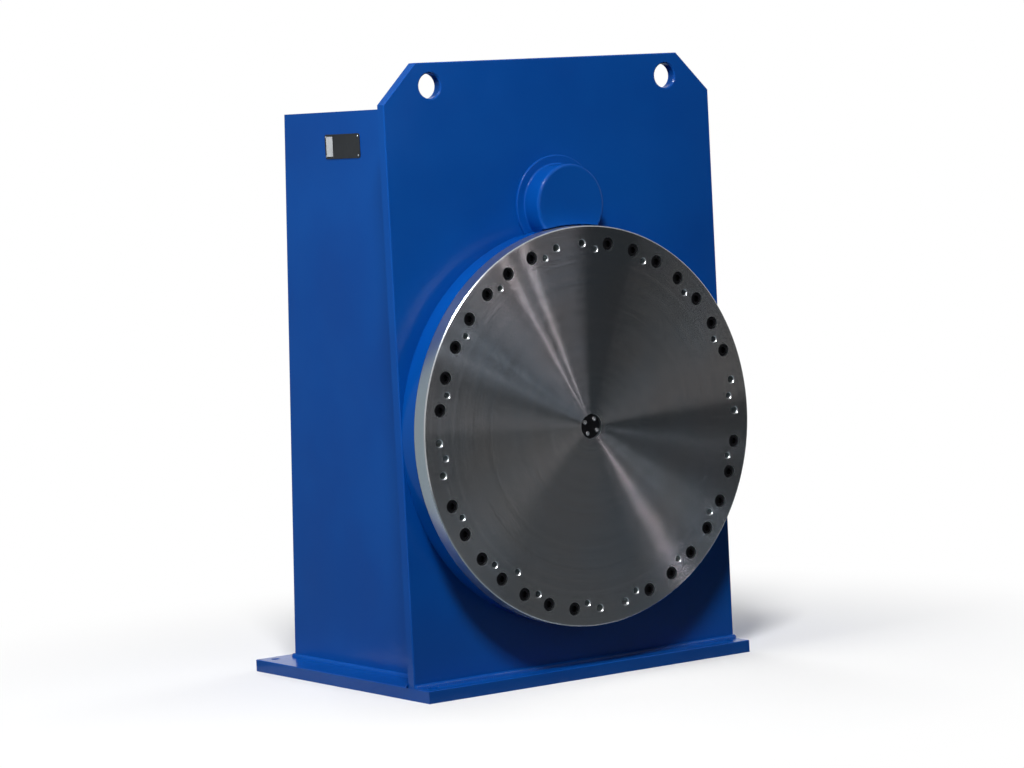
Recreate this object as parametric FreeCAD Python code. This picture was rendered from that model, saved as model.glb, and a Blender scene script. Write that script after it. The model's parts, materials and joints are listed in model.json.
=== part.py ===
import FreeCAD, Part
import math
import os

# Headstock of a welding workpiece positioner, in millimetres.
# +Z is up, the faceplate faces -Y, and the origin is on the floor at the middle of the footprint.
# A servo gearmotor in the cabinet turns a pinion, the pinion turns a toothed slewing ring,
# and the slewing ring carries the big round faceplate that the work is bolted to.

# Faceplate
faceplate_dia = 1220.0
faceplate_thick = 57.0
faceplate_chamfer = 3.0
screw_edge = 52.5
screw_positions = 36
open_per_quarter = 2
jack_hole_dia = 21.0
fixture_count = 18
fixture_inset = 18.5
fixture_hole_dia = 17.5
fixture_depth = 45.0
locating_inset = 48.0
locating_angle = -126.0
hole_chamfer = 2.5
pilot_dia = 76.0
pilot_depth = 14.0
centre_cap_thick = 8.0
centre_cap_chamfer = 1.5
centre_screw_count = 4
centre_screw_radius = 25.0
centre_screw_angle = 58.0
centre_screw_dia = 8.0
centre_screw_head_dia = 13.0
centre_screw_head = 5.0
centre_screw_socket = 6.0
centre_screw_socket_depth = 3.0
centre_screw_reach = 12.0

# Cap screws that hold the faceplate
plate_screw_dia = 24.0
plate_screw_head_dia = 36.0
plate_screw_head = 24.0
plate_screw_socket = 19.0
plate_screw_socket_depth = 12.0
plate_screw_reach = 40.0
counterbore_dia = 40.0
counterbore_depth = 27.0

# Slewing ring
gear_module = 8.0
gear_pressure_angle = 20.0
gear_root_depth = 10.0
gear_backlash = 0.6
pinion_teeth = 21
tooth_cover = 10.0
roller_dia = 24.0
roller_count = 48
roller_end_clear = 0.3
race_wall = 10.0
race_shoulder = 8.0
race_gap = 3.0
ring_clear = 9.0
ring_rim = 12.0
cage_thick = 2.0
cage_rim = 3.0
seal_height = 4.0
bearing_screw_count = 24
bearing_screw_dia = 20.0
bearing_screw_head_dia = 30.0
bearing_screw_head = 20.0
bearing_screw_reach = 26.0
bearing_counterbore_depth = 22.0
nipple_count = 4
nipple_flats = 11.0
nipple_hex = 7.0
nipple_standoff = 1.0
nipple_stem_dia = 5.5
nipple_stem = 6.0
nipple_head_dia = 7.4
nipple_head = 7.0

# Screw heads, as shares of the screw's own size
cap_head_round_ratio = 0.1
hex_crown_ratio = 0.95
hex_crown_angle = 30.0

# Clearances
fit_clear = 0.05
hole_clear = 0.2
seat_clear = 0.3
tap_spare = 2.0

# Gear guard and pinion cap
guard_clear = 3.0
guard_wall = 4.0
guard_front_gap = 3.0
pinion_clear = 26.0
cap_wall = 6.0
cap_proud = 11.0
cap_step_gap = 7.0
cap_rim_gap = 5.0
cap_edge_radius = 10.0
cap_root_radius = 5.0
cap_flange_width = 28.0
cap_flange_thick = 8.0
cap_flange_radius = 4.0
cap_screw_count = 7
cap_screw_first_angle = -15.0
cap_screw_last_angle = 195.0
cap_screw_dia = 8.0
cap_screw_head_dia = 16.0
cap_screw_head = 4.0
cap_screw_reach = 10.0

# Pinion, its shaft and its retainer
shaft_dia = 60.0
collar_step = 8.0
pinion_standoff = 6.0
retainer_thick = 5.0
retainer_overlap = 10.0
retainer_bolt_dia = 16.0
retainer_bolt_flats = 24.0
retainer_bolt_head = 4.0
retainer_bolt_reach = 30.0
retainer_end_clear = 1.0
key_width = 18.0
key_height = 11.0
key_sunk = 7.0
key_end_gap = 4.0

# Gearbox and servo motor
seal_ring_width = 20.0
seal_ring_length = 10.0
spigot_wall = 35.0
spigot_setback = 1.0
gearbox_flange_width = 55.0
gearbox_flange_thick = 22.0
gearbox_flange_radius = 4.0
gearbox_screw_inset = 15.0
gearbox_screw_count = 8
gearbox_screw_dia = 16.0
gearbox_screw_flats = 24.0
gearbox_screw_head = 10.0
gearbox_screw_reach = 20.0
gearbox_stage_length = 62.0
gearbox_stage_step = 10.0
gearbox_stage_radius = 8.0
gearbox_groove = 8.0
gearbox_groove_depth = 8.0
gearbox_neck_length = 26.0
shaft_end_depth = 40.0
motor_flange_lip = 28.0
adapter_thick = 18.0
adapter_corner = 22.0
motor_side = 164.0
motor_corner = 18.0
motor_length = 235.0
motor_fin_count = 5
motor_fin_pitch = 20.0
motor_fin_gap = 9.0
motor_fin_depth = 7.0
motor_fin_front = 42.0
motor_fin_rear = 28.0
motor_screw_dia = 10.0
motor_screw_flats = 16.0
motor_screw_head = 7.0
motor_screw_reach = 12.0
motor_end_thick = 14.0
encoder_side = 122.0
encoder_length = 52.0
encoder_corner = 14.0
connector_dia = 34.0
connector_height = 46.0
connector_wall = 4.0
connector_bore = 23.0
connector_collar = 3.0
connector_collar_height = 11.5
connector_spread = 34.0
connector_setback = 20.0

# Front plate and base plate
plate_margin = 3.0
plate_thick = 36.0
plate_chamfer = 120.0
plate_edge = 3.0
axis_height = 776.0
head_room = 448.0
lifting_hole_dia = 76.0
lifting_hole_edge = 4.0
lifting_hole_drop = 70.0
lifting_hole_spread = 882.0
base_thick = 38.0
base_edge = 2.0
base_front = 78.0
base_rear = 52.0
anchor_dia = 28.0
anchor_edge = 45.0

# Cabinet behind the front plate
cabinet_inset = 112.0
cabinet_drop = 131.0
cabinet_depth_top = 750.0
cabinet_depth_bottom = 868.0
wall = 10.0
bend_radius = 8.0
flange_width = 45.0
sill_height = 130.0
cover_thick = 5.0
cover_margin = 12.0
cover_lap = 40.0
cover_corner = 12.0
cover_screw_rows = 6
cover_screw_columns = 5
cover_screw_edge = 21.0
cover_screw_dia = 8.0
cover_screw_flats = 13.0
cover_screw_head = 6.0
cover_screw_reach = 14.0
rib_spread = 600.0
rib_thick = 16.0
rib_height = 1060.0
rib_depth = 380.0
rib_tip = 60.0
rib_corner_cut = 30.0

# Cable glands and work-return terminal on the rear sill
gland_spread = 300.0
gland_pitch = 80.0
gland_count = 2
gland_dia = 40.0
gland_flats = 46.0
gland_nut = 10.0
gland_bore_dia = 20.0
gland_dome_dia = 41.0
gland_dome = 22.0
gland_dome_radius = 7.0
terminal_dia = 16.0
terminal_flats = 26.0
terminal_nut = 13.0
terminal_pad = 44.0
terminal_pad_thick = 6.5
terminal_length = 42.0
outlet_height = 48.0

# Rotary work return: a copper ring behind the faceplate and two sprung brushes
ground_ring_bore = 300.0
ground_ring_width = 66.0
ground_ring_thick = 10.0
ground_screw_count = 6
ground_screw_dia = 8.0
ground_screw_head_dia = 15.0
ground_screw_head = 4.0
ground_screw_inset = 11.0
ground_screw_reach = 12.0
brush_width = 36.0
brush_height = 24.0
brush_length = 62.0
brush_chamfer = 3.0
brush_track_inset = 20.0
brush_travel = 12.0
holder_wall = 8.0
holder_corner = 4.0
holder_nose_gap = 10.0
holder_flange = 22.0
holder_flange_thick = 10.0
spring_room = 60.0
spring_seat_dia = 16.0
spring_seat_depth = 4.0
holder_cap_thick = 8.0
holder_screw_dia = 8.0
holder_screw_flats = 13.0
holder_screw_head = 5.5
holder_screw_reach = 16.0

# Home sensor and the dog it reads
sensor_radius = 300.0
sensor_angle = -45.0
sensor_dia = 18.0
sensor_length = 110.0
sensor_tail_dia = 12.0
sensor_tail = 9.0
sensor_nut_flats = 24.0
sensor_nut = 4.0
sensor_air = 5.0
dog_length = 44.0
dog_width = 30.0
dog_thick = 12.0
dog_corner = 6.0
dog_screw_dia = 8.0
dog_screw_head_dia = 13.0
dog_screw_head = 8.0
dog_screw_reach = 10.0
dog_screw_pitch = 22.0

# Places that follow from the sizes above
V = FreeCAD.Vector
ROOT2 = math.sqrt(2.0)
channel_half = roller_dia / ROOT2
ring_gap = 2 * (channel_half + race_shoulder + ring_clear)
y_plate = (ring_gap + faceplate_thick - cabinet_depth_bottom - base_rear) / 2
y_back = y_plate + plate_thick
y_seat = y_plate - ring_gap
y_face = y_seat - faceplate_thick
y_race = y_plate - ring_gap / 2
y_base_front = y_plate - base_front
y_base_rear = y_plate + cabinet_depth_bottom + base_rear

screw_radius = faceplate_dia / 2 - screw_edge
plate_hole = plate_screw_dia / 2 + hole_clear
roller_radius = screw_radius - plate_hole - race_wall - channel_half
inner_screw_radius = roller_radius - channel_half - race_wall - bearing_screw_head_dia / 2
inner_bore = inner_screw_radius - bearing_screw_head_dia / 2 - ring_rim
inner_outer = roller_radius - race_gap / 2
outer_bore = roller_radius + race_gap / 2

ring_teeth = round((faceplate_dia - 2 * (gear_module + tooth_cover)) / gear_module)
ring_tip = gear_module * (ring_teeth / 2 + 1)
pinion_tip = gear_module * (pinion_teeth / 2 + 1)
centre_distance = gear_module * (ring_teeth + pinion_teeth) / 2
z_pinion = axis_height + centre_distance
guard_bore = ring_tip + guard_clear
guard_outer = guard_bore + guard_wall
plate_width = 2 * (guard_outer + plate_margin)
cap_bore = pinion_tip + pinion_clear
cap_outer = cap_bore + cap_wall
cap_flange = cap_outer + cap_flange_width
cap_notch = faceplate_dia / 2 + cap_rim_gap
y_cap_front = y_seat - cap_proud
y_cap_step = y_seat + cap_step_gap

z_top = z_pinion + head_room
z_cabinet = z_top - cabinet_drop
z_walls = z_cabinet - wall
cabinet_half = plate_width / 2 - cabinet_inset
cabinet_inside = cabinet_half - wall
z_sill = base_thick + sill_height
z_top_flange = z_walls - flange_width
z_cover_low = z_sill - cover_lap
z_cover_high = z_cabinet - cover_margin
cover_half = cabinet_half - cover_margin

shaft_radius = shaft_dia / 2
collar_radius = shaft_radius + collar_step
y_pinion_back = y_plate - pinion_standoff
y_bolt_front = y_cap_step + cap_wall + retainer_end_clear
y_pinion_front = y_bolt_front + retainer_bolt_head + retainer_thick
spigot_radius = collar_radius + seal_ring_width + spigot_wall
gearbox_flange = spigot_radius + gearbox_flange_width
gearbox_body = gearbox_flange - 2 * gearbox_screw_inset - gearbox_screw_flats / 2
y_stage = y_back + gearbox_flange_thick
y_neck = y_stage + 2 * gearbox_stage_length + gearbox_groove
y_adapter = y_neck + gearbox_neck_length
y_motor = y_adapter + adapter_thick
y_motor_end = y_motor + motor_length
adapter_side = motor_side + 2 * motor_flange_lip

ground_inner = ground_ring_bore / 2
ground_outer = ground_inner + ground_ring_width
y_track = y_seat + ground_ring_thick
brush_radius = ground_outer - brush_track_inset
y_brush = y_track + seat_clear
y_holder_end = y_brush + brush_length + brush_travel + spring_room
dog_counterbore = dog_screw_head + seat_clear


def outline(corners, place):
    """Closed wire through (a, b) or (a, b, radius) corners, rounded where a radius is given."""
    spots = []
    for number, corner in enumerate(corners):
        here = V(corner[0], corner[1], 0)
        radius = corner[2] if len(corner) > 2 else 0
        if radius == 0:
            spots.append((here, None, here))
            continue
        before = corners[number - 1]
        after = corners[(number + 1) % len(corners)]
        back = V(before[0], before[1], 0).sub(here).normalize()
        ahead = V(after[0], after[1], 0).sub(here).normalize()
        half = back.getAngle(ahead) / 2
        reach = radius / math.tan(half)
        middle = here + back.add(ahead).normalize() * (radius / math.sin(half) - radius)
        spots.append((here + back * reach, middle, here + ahead * reach))
    edges = []
    for number, (start, middle, end) in enumerate(spots):
        following = spots[(number + 1) % len(spots)][0]
        if middle is not None:
            edges.append(Part.Arc(place(start), place(middle), place(end)).toShape())
        if end.distanceToPoint(following) > 1e-6:
            edges.append(Part.LineSegment(place(end), place(following)).toShape())
    return Part.Wire(edges)


def slab_y(corners, y_from, y_to):
    """Plate with an (x, z) outline, from y_from to y_to."""
    face = Part.Face(outline(corners, lambda p: V(p.x, y_from, p.y)))
    return face.extrude(V(0, y_to - y_from, 0))


def slab_x(corners, x_from, x_to):
    """Plate with a (y, z) outline, from x_from to x_to."""
    face = Part.Face(outline(corners, lambda p: V(x_from, p.x, p.y)))
    return face.extrude(V(x_to - x_from, 0, 0))


def turned(corners, x=0.0, z=0.0):
    """Solid of revolution of a (radius, y) outline about the Y-wise axis through (x, z)."""
    face = Part.Face(outline(corners, lambda p: V(x + p.x, p.y, z)))
    return face.revolve(V(x, 0, z), V(0, 1, 0), 360)


def tube(inner, outer, y_from, y_to, z):
    """Plain ring about the Y-wise axis at height z."""
    return turned([(inner, y_from), (outer, y_from), (outer, y_to), (inner, y_to)], 0, z)


def rod(radius, y_from, y_to, x=0.0, z=0.0):
    """Cylinder along Y."""
    return Part.makeCylinder(radius, y_to - y_from, V(x, y_from, z), V(0, 1, 0))


def block(x_size, z_size, corner, x=0.0, z=0.0):
    """Corners of an (x, z) rectangle about (x, z), rounded by corner."""
    signs = ((-1, -1), (1, -1), (1, 1), (-1, 1))
    return [(x + sx * x_size / 2, z + sz * z_size / 2, corner) for sx, sz in signs]


def hexagon(flats, x=0.0, z=0.0):
    """Corners of a hexagon by its width across flats."""
    radius = flats / math.sqrt(3)
    angles = [math.radians(60 * k) for k in range(6)]
    return [(x + radius * math.cos(a), z + radius * math.sin(a)) for a in angles]


def on_circle(radius, angles, z):
    """Points (x, z) on a circle about the Y-wise axis at height z, angles in degrees from +X."""
    return [(radius * math.cos(math.radians(a)), z + radius * math.sin(math.radians(a))) for a in angles]


def spread(count, first=0.0):
    """Angles of evenly spaced places round a full turn."""
    return [first + 360.0 * k / count for k in range(count)]


def between(low, high, count):
    """Evenly spaced values from low to high, both included."""
    return [low + (high - low) * k / (count - 1) for k in range(count)]


def cap_screw(x, z, seat, way, head_dia, head, dia, reach, socket=0.0, socket_depth=0.0):
    """Socket screw whose head sits on the plane y = seat and whose shank runs the given way along Y."""
    top = seat - way * head
    side = head_dia / 2
    profile = [(0, top), (side, top, cap_head_round_ratio * dia), (side, seat), (dia / 2, seat)]
    screw = turned(profile + [(dia / 2, seat + way * reach), (0, seat + way * reach)], x, z)
    if socket:
        screw = screw.cut(slab_y(hexagon(socket, x, z), top, top + way * socket_depth))
    return screw


def flat_screw(x, z, seat, way, head_dia, head, dia, reach):
    """Countersunk screw with its flat head flush in the plane y = seat."""
    profile = [(0, seat), (head_dia / 2, seat), (dia / 2, seat + way * head)]
    return turned(profile + [(dia / 2, seat + way * reach), (0, seat + way * reach)], x, z)


def hex_screw(x, z, seat, way, flats, head, dia, reach):
    """Hexagon screw whose head sits on the plane y = seat and whose shank runs the given way along Y."""
    top = seat - way * head
    crown = hex_crown_ratio * flats / 2
    corner = flats / math.sqrt(3)
    drop = (corner - crown) * math.tan(math.radians(hex_crown_angle))
    cone = turned([(0, top), (crown, top), (corner, top + way * drop), (corner, seat), (0, seat)], x, z)
    head_block = slab_y(hexagon(flats, x, z), top, seat).common(cone)
    shank = rod(dia / 2, min(seat, seat + way * reach), max(seat, seat + way * reach), x, z)
    return head_block.fuse(shank).removeSplitter()


def group(solids):
    """Separate solids that share one node."""
    return Part.makeCompound(solids)


def gear_outline(teeth, steps, first_angle, z):
    """Corners of a spur gear about (0, z) with a tooth at first_angle and steps chords on each flank."""
    pitch = gear_module * teeth / 2
    base = pitch * math.cos(math.radians(gear_pressure_angle))
    root = pitch - gear_root_depth
    tip = pitch + gear_module

    def involute(radius):
        angle = math.acos(min(1.0, base / radius))
        return math.tan(angle) - angle

    def half_angle(radius):
        at_pitch = (math.pi * gear_module - gear_backlash) / (4 * pitch)
        return at_pitch + involute(pitch) - involute(max(radius, base))

    radii = between(root, tip, steps + 1)
    corners = []
    for number in range(teeth):
        middle = math.radians(first_angle) + 2 * math.pi * number / teeth
        flank = [(r, middle - half_angle(r)) for r in radii]
        flank += [(r, middle + half_angle(r)) for r in reversed(radii)]
        corners += [(r * math.cos(a), z + r * math.sin(a)) for r, a in flank]
    return corners


def rear_y(z):
    """Depth of the cabinet's sloping rear plane at height z."""
    share = (z - base_thick) / (z_cabinet - base_thick)
    return y_plate + cabinet_depth_bottom + (cabinet_depth_top - cabinet_depth_bottom) * share


def rear_strip(z_low, z_high):
    """(y, z) outline of a strip one wall thick under the sloping rear plane."""
    return [(rear_y(z_low) - wall, z_low), (rear_y(z_low), z_low),
            (rear_y(z_high), z_high), (rear_y(z_high) - wall, z_high)]


def rear_slope():
    """Lean of the cabinet's rear plane from the vertical, in radians."""
    return math.atan2(cabinet_depth_bottom - cabinet_depth_top, z_cabinet - base_thick)


def turned_to_slope(shape, x, z):
    """Moves a shape made about the Y axis at the origin onto the rear plane, with +Y square out of it."""
    shape.rotate(V(0, 0, 0), V(1, 0, 0), math.degrees(rear_slope()))
    shape.translate(V(x, rear_y(z), z))
    return shape


def cover_screw_places():
    """(x, z) of the screws round the edge of the rear cover."""
    x_edge = cover_half - cover_screw_edge
    z_low = z_cover_low + cover_screw_edge
    z_high = z_cover_high - cover_screw_edge
    sides = [(x, z) for x in (-x_edge, x_edge) for z in between(z_low, z_high, cover_screw_rows)]
    inner = between(-x_edge, x_edge, cover_screw_columns)[1:-1]
    return sides + [(x, z) for x in inner for z in (z_low, z_high)]


def cover_screw_holes():
    """Cutters for the rear cover's screws, square to the sloping plane."""
    depth = cover_screw_reach + wall
    holes = []
    for x, z in cover_screw_places():
        cutter = rod(cover_screw_dia / 2 + hole_clear, -depth, cover_thick + tap_spare)
        holes.append(turned_to_slope(cutter, x, z))
    return group(holes)


def lifting_hole_places():
    return [(side * lifting_hole_spread / 2, z_top - lifting_hole_drop) for side in (-1, 1)]


def brush_places():
    """Heights of the upper and the lower brush."""
    return {"upper": axis_height + brush_radius, "lower": axis_height - brush_radius}


def holder_screw_places(z):
    x_side = brush_width / 2 + holder_wall + holder_flange / 2
    return [(-x_side, z), (x_side, z)]


def sensor_place():
    return on_circle(sensor_radius, [sensor_angle], axis_height)[0]


def screw_angles(open_ones):
    """Angles on the faceplate's main circle: the open jack holes, or the places that hold screws."""
    quarter = screw_positions // 4
    places = [k for k in range(screw_positions) if (k % quarter < open_per_quarter) == open_ones]
    return [360.0 * k / screw_positions for k in places]


def cap_screw_places():
    radius = cap_outer + cap_flange_width / 2
    return on_circle(radius, between(cap_screw_first_angle, cap_screw_last_angle, cap_screw_count), z_pinion)


def gearbox_screw_places():
    radius = gearbox_flange - gearbox_screw_inset
    return on_circle(radius, spread(gearbox_screw_count, 180.0 / gearbox_screw_count), z_pinion)


def bearing_screw_places():
    return on_circle(inner_screw_radius, spread(bearing_screw_count), axis_height)


def outlet_places():
    """(x, z) of the cable glands and then of the terminal, on the rear sill."""
    z = base_thick + outlet_height
    glands = [(gland_spread / 2 + gland_pitch * k, z) for k in range(gland_count)]
    return glands, (-gland_spread / 2, z)


def base_plate():
    half = plate_width / 2
    plate = Part.makeBox(plate_width, y_base_rear - y_base_front, base_thick, V(-half, y_base_front, 0))
    top_edges = [e for e in plate.Edges if e.BoundBox.ZMin > base_thick - fit_clear]
    plate = plate.makeChamfer(base_edge, top_edges)
    for x in (-half + anchor_edge, half - anchor_edge):
        for y in (y_base_front + anchor_edge, y_base_rear - anchor_edge):
            plate = plate.cut(Part.makeCylinder(anchor_dia / 2, base_thick, V(x, y, 0)))
    return plate


def front_tap(x, z, dia, reach):
    """Cutter for a tapped hole in the front of the front plate."""
    return rod(dia / 2 + hole_clear, y_plate, y_plate + reach + tap_spare, x, z)


def rear_tap(x, z, dia, reach):
    """Cutter for a tapped hole in the back of the front plate."""
    return rod(dia / 2 + hole_clear, y_back - reach - tap_spare, y_back, x, z)


def lifting_hole(x, z):
    """Cutter for a lifting hole with both mouths opened out for a shackle."""
    radius = lifting_hole_dia / 2
    mouth = radius + lifting_hole_edge
    corners = [(0, y_plate), (mouth, y_plate), (radius, y_plate + lifting_hole_edge),
               (radius, y_back - lifting_hole_edge), (mouth, y_back), (0, y_back)]
    return turned(corners, x, z)


def front_plate():
    half = plate_width / 2
    corners = [(-half, base_thick), (half, base_thick), (half, z_top - plate_chamfer),
               (half - plate_chamfer, z_top), (plate_chamfer - half, z_top), (-half, z_top - plate_chamfer)]
    plate = slab_y(corners, y_plate, y_back)
    faces = [e for e in plate.Edges if e.BoundBox.YLength < plate_edge]
    rim = [e for e in faces if e.BoundBox.ZMax > base_thick + plate_edge]
    plate = plate.makeChamfer(plate_edge, rim)
    cuts = [lifting_hole(x, z) for x, z in lifting_hole_places()]
    cuts.append(rod(spigot_radius + fit_clear, y_plate, y_back, 0, z_pinion))
    cuts += [front_tap(x, z, bearing_screw_dia, bearing_screw_reach) for x, z in bearing_screw_places()]
    cuts += [front_tap(x, z, cap_screw_dia, cap_screw_reach) for x, z in cap_screw_places()]
    cuts += [rear_tap(x, z, gearbox_screw_dia, gearbox_screw_reach) for x, z in gearbox_screw_places()]
    for z in brush_places().values():
        window = block(brush_width + 2 * holder_wall, brush_height + 2 * holder_wall, 0, 0, z)
        cuts.append(slab_y(window, y_plate, y_back))
        cuts += [rear_tap(x, zs, holder_screw_dia, holder_screw_reach) for x, zs in holder_screw_places(z)]
    x, z = sensor_place()
    cuts.append(rod(sensor_dia / 2 + hole_clear, y_plate, y_back, x, z))
    return plate.cut(group(cuts))


def side_plate(side):
    """Side wall with its rear edge bent inwards as the seat of the rear cover."""
    corners = [(y_back, base_thick), (rear_y(base_thick), base_thick),
               (rear_y(z_walls), z_walls), (y_back, z_walls)]
    sheet = slab_x(corners, side * cabinet_inside, side * cabinet_half)
    inner_edge = cabinet_inside - flange_width
    flange = slab_x(rear_strip(z_sill, z_top_flange), side * inner_edge, side * cabinet_inside)
    plate = sheet.fuse(flange).removeSplitter()
    middle = (base_thick + z_walls) / 2
    rear_corner = Part.Vertex(V(side * cabinet_half, rear_y(middle), middle))
    bend = [e for e in plate.Edges if e.distToShape(rear_corner)[0] < fit_clear]
    plate = plate.makeFillet(min(bend_radius, wall - seat_clear), bend)
    return plate.cut(cover_screw_holes())


def top_plate():
    corners = [(y_back, z_walls), (rear_y(z_walls), z_walls),
               (rear_y(z_cabinet), z_cabinet), (y_back, z_cabinet)]
    plate = slab_x(corners, -cabinet_half, cabinet_half)
    middle = (z_walls + z_cabinet) / 2
    rear_corners = [Part.Vertex(V(side * cabinet_half, rear_y(middle), middle)) for side in (-1, 1)]
    bends = [e for e in plate.Edges if min(e.distToShape(c)[0] for c in rear_corners) < fit_clear]
    plate = plate.makeFillet(min(bend_radius, wall - seat_clear), bends)
    flange = slab_x(rear_strip(z_top_flange, z_walls), -cabinet_inside, cabinet_inside)
    return plate.fuse(flange).removeSplitter().cut(cover_screw_holes())


def rear_sill():
    sill = slab_x(rear_strip(base_thick, z_sill), -cabinet_inside, cabinet_inside)
    glands, terminal = outlet_places()
    for (x, z), dia in [(g, gland_dia) for g in glands] + [(terminal, terminal_dia)]:
        cutter = rod(dia / 2 + hole_clear, -wall - tap_spare, tap_spare)
        sill = sill.cut(turned_to_slope(cutter, x, z))
    return sill.cut(cover_screw_holes())


def rear_cover():
    low, high = z_cover_low, z_cover_high
    depth = cover_thick / math.cos(rear_slope())
    corners = [(rear_y(low), low), (rear_y(low) + depth, low),
               (rear_y(high) + depth, high), (rear_y(high), high)]
    cover = slab_x(corners, -cover_half, cover_half)
    corner_edges = [e for e in cover.Edges if e.BoundBox.XLength < fit_clear and e.Length < 2 * cover_thick]
    return cover.makeFillet(cover_corner, corner_edges).cut(cover_screw_holes())


def rear_cover_screws():
    screws = []
    for x, z in cover_screw_places():
        screw = hex_screw(0, 0, cover_thick, -1, cover_screw_flats, cover_screw_head, cover_screw_dia,
                          cover_thick + cover_screw_reach)
        screws.append(turned_to_slope(screw, x, z))
    return group(screws)


def stiffener_rib(side):
    """Inner rib that ties the front plate to the base plate."""
    low = base_thick
    high = low + rib_height
    corners = [(y_back, low + rib_corner_cut), (y_back + rib_corner_cut, low), (y_back + rib_depth, low),
               (y_back + rib_depth, low + rib_tip), (y_back + rib_tip, high), (y_back, high)]
    middle = side * rib_spread / 2
    return slab_x(corners, middle - rib_thick / 2, middle + rib_thick / 2)


def gear_guard():
    """Rolled band round the toothed ring, open where the pinion reaches in."""
    band = tube(guard_bore, guard_outer, y_seat + guard_front_gap, y_plate, axis_height)
    return band.cut(rod(cap_bore, y_seat, y_plate, 0, z_pinion))


def pinion_cap():
    """Round cap over the pinion: it ends on the gear guard and steps back round the faceplate's rim."""
    inside = y_cap_front + cap_wall
    flange_front = y_plate - cap_flange_thick
    corners = [(0, y_cap_front), (cap_outer, y_cap_front, cap_edge_radius),
               (cap_outer, flange_front, cap_root_radius), (cap_flange, flange_front, cap_flange_radius),
               (cap_flange, y_plate), (0, y_plate)]
    cap = turned(corners, 0, z_pinion)
    corner = max(cap_edge_radius - cap_wall, fit_clear)
    hollow = turned([(0, inside), (cap_bore, inside, corner), (cap_bore, y_plate), (0, y_plate)], 0, z_pinion)
    hollow = hollow.cut(rod(cap_notch + cap_wall, y_face, y_cap_step + cap_wall, 0, axis_height))
    cap = cap.cut(hollow)
    cap = cap.cut(rod(cap_notch, y_face, y_cap_step, 0, axis_height))
    cap = cap.cut(rod(guard_outer + seat_clear, y_face, y_plate, 0, axis_height))
    for x, z in cap_screw_places():
        cap = cap.cut(flat_screw(x, z, flange_front, 1, cap_screw_head_dia + 2 * hole_clear, cap_screw_head,
                                 cap_screw_dia + 2 * hole_clear, cap_flange_thick))
    return cap


def pinion_cap_screws():
    front = y_plate - cap_flange_thick
    reach = cap_flange_thick + cap_screw_reach
    return group([flat_screw(x, z, front, 1, cap_screw_head_dia, cap_screw_head, cap_screw_dia, reach)
                  for x, z in cap_screw_places()])


def bearing_inner_ring():
    """Fixed ring of the crossed-roller bearing, screwed to the front plate."""
    front = y_seat + ring_clear
    mouth = channel_half - race_gap / 2
    corners = [(inner_bore, front), (inner_outer, front), (inner_outer, y_race - mouth),
               (roller_radius - channel_half, y_race), (inner_outer, y_race + mouth),
               (inner_outer, y_plate), (inner_bore, y_plate)]
    ring = turned(corners, 0, axis_height)
    holes = []
    for x, z in bearing_screw_places():
        holes.append(rod(bearing_screw_dia / 2 + hole_clear, front, y_plate, x, z))
        bore = bearing_screw_head_dia / 2 + 2 * hole_clear
        holes.append(rod(bore, front, front + bearing_counterbore_depth, x, z))
    for angle in spread(nipple_count, 180.0 / nipple_count):
        bore = rod(nipple_stem_dia / 2 + hole_clear, -nipple_standoff, nipple_stem)
        holes.append(nipple_turned(bore, angle))
    return ring.cut(group(holes))


def bearing_screws():
    seat = y_seat + ring_clear + bearing_counterbore_depth
    reach = y_plate + bearing_screw_reach - seat
    return group([cap_screw(x, z, seat, 1, bearing_screw_head_dia, bearing_screw_head, bearing_screw_dia,
                            reach) for x, z in bearing_screw_places()])


def bearing_seal(y_from, y_to, lip):
    """Lip seal in the gap between the rings, seated on the fixed one."""
    seat = inner_outer + fit_clear
    edge = outer_bore - seat_clear
    corners = [(seat, y_from), (edge if lip < 0 else seat + race_gap / 2, y_from),
               (edge if lip > 0 else seat + race_gap / 2, y_to), (seat, y_to)]
    return turned(corners, 0, axis_height)


def nipple_turned(shape, angle):
    """Moves a shape made along +Y at the origin to the inner ring's bore, with +Y outwards into the ring."""
    shape.rotate(V(0, 0, 0), V(0, 0, 1), -90)
    shape.translate(V(inner_bore, y_race, 0))
    shape.rotate(V(0, 0, 0), V(0, -1, 0), angle)
    shape.translate(V(0, 0, axis_height))
    return shape


def grease_nipples():
    nipples = []
    for angle in spread(nipple_count, 180.0 / nipple_count):
        stem = rod(nipple_stem_dia / 2, -nipple_standoff, nipple_stem)
        body = slab_y(hexagon(nipple_flats), -nipple_hex, -nipple_standoff)
        head = rod(nipple_head_dia / 2, -nipple_hex - nipple_head, -nipple_hex)
        nipples.append(nipple_turned(stem.fuse([body, head]).removeSplitter(), angle))
    return group(nipples)


def gear_ring():
    """Toothed outer ring of the bearing, which carries the faceplate."""
    rear = y_plate - ring_clear
    ring = slab_y(gear_outline(ring_teeth, 1, 90.0, axis_height), y_seat, rear)
    mouth = channel_half - race_gap / 2
    corners = [(0, y_seat), (outer_bore, y_seat), (outer_bore, y_race - mouth),
               (roller_radius + channel_half, y_race), (outer_bore, y_race + mouth),
               (outer_bore, rear), (0, rear)]
    ring = ring.cut(turned(corners, 0, axis_height))
    places = on_circle(screw_radius, screw_angles(False), axis_height)
    return ring.cut(group([rod(plate_hole, y_seat, rear, x, z) for x, z in places]))


def roller_axes():
    """Placement of each roller: crossed rollers lean to the front and to the back in turn."""
    places = []
    for number, angle in enumerate(spread(roller_count)):
        lean = 45.0 if number % 2 else -45.0
        places.append((lean, angle))
    return places


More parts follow.
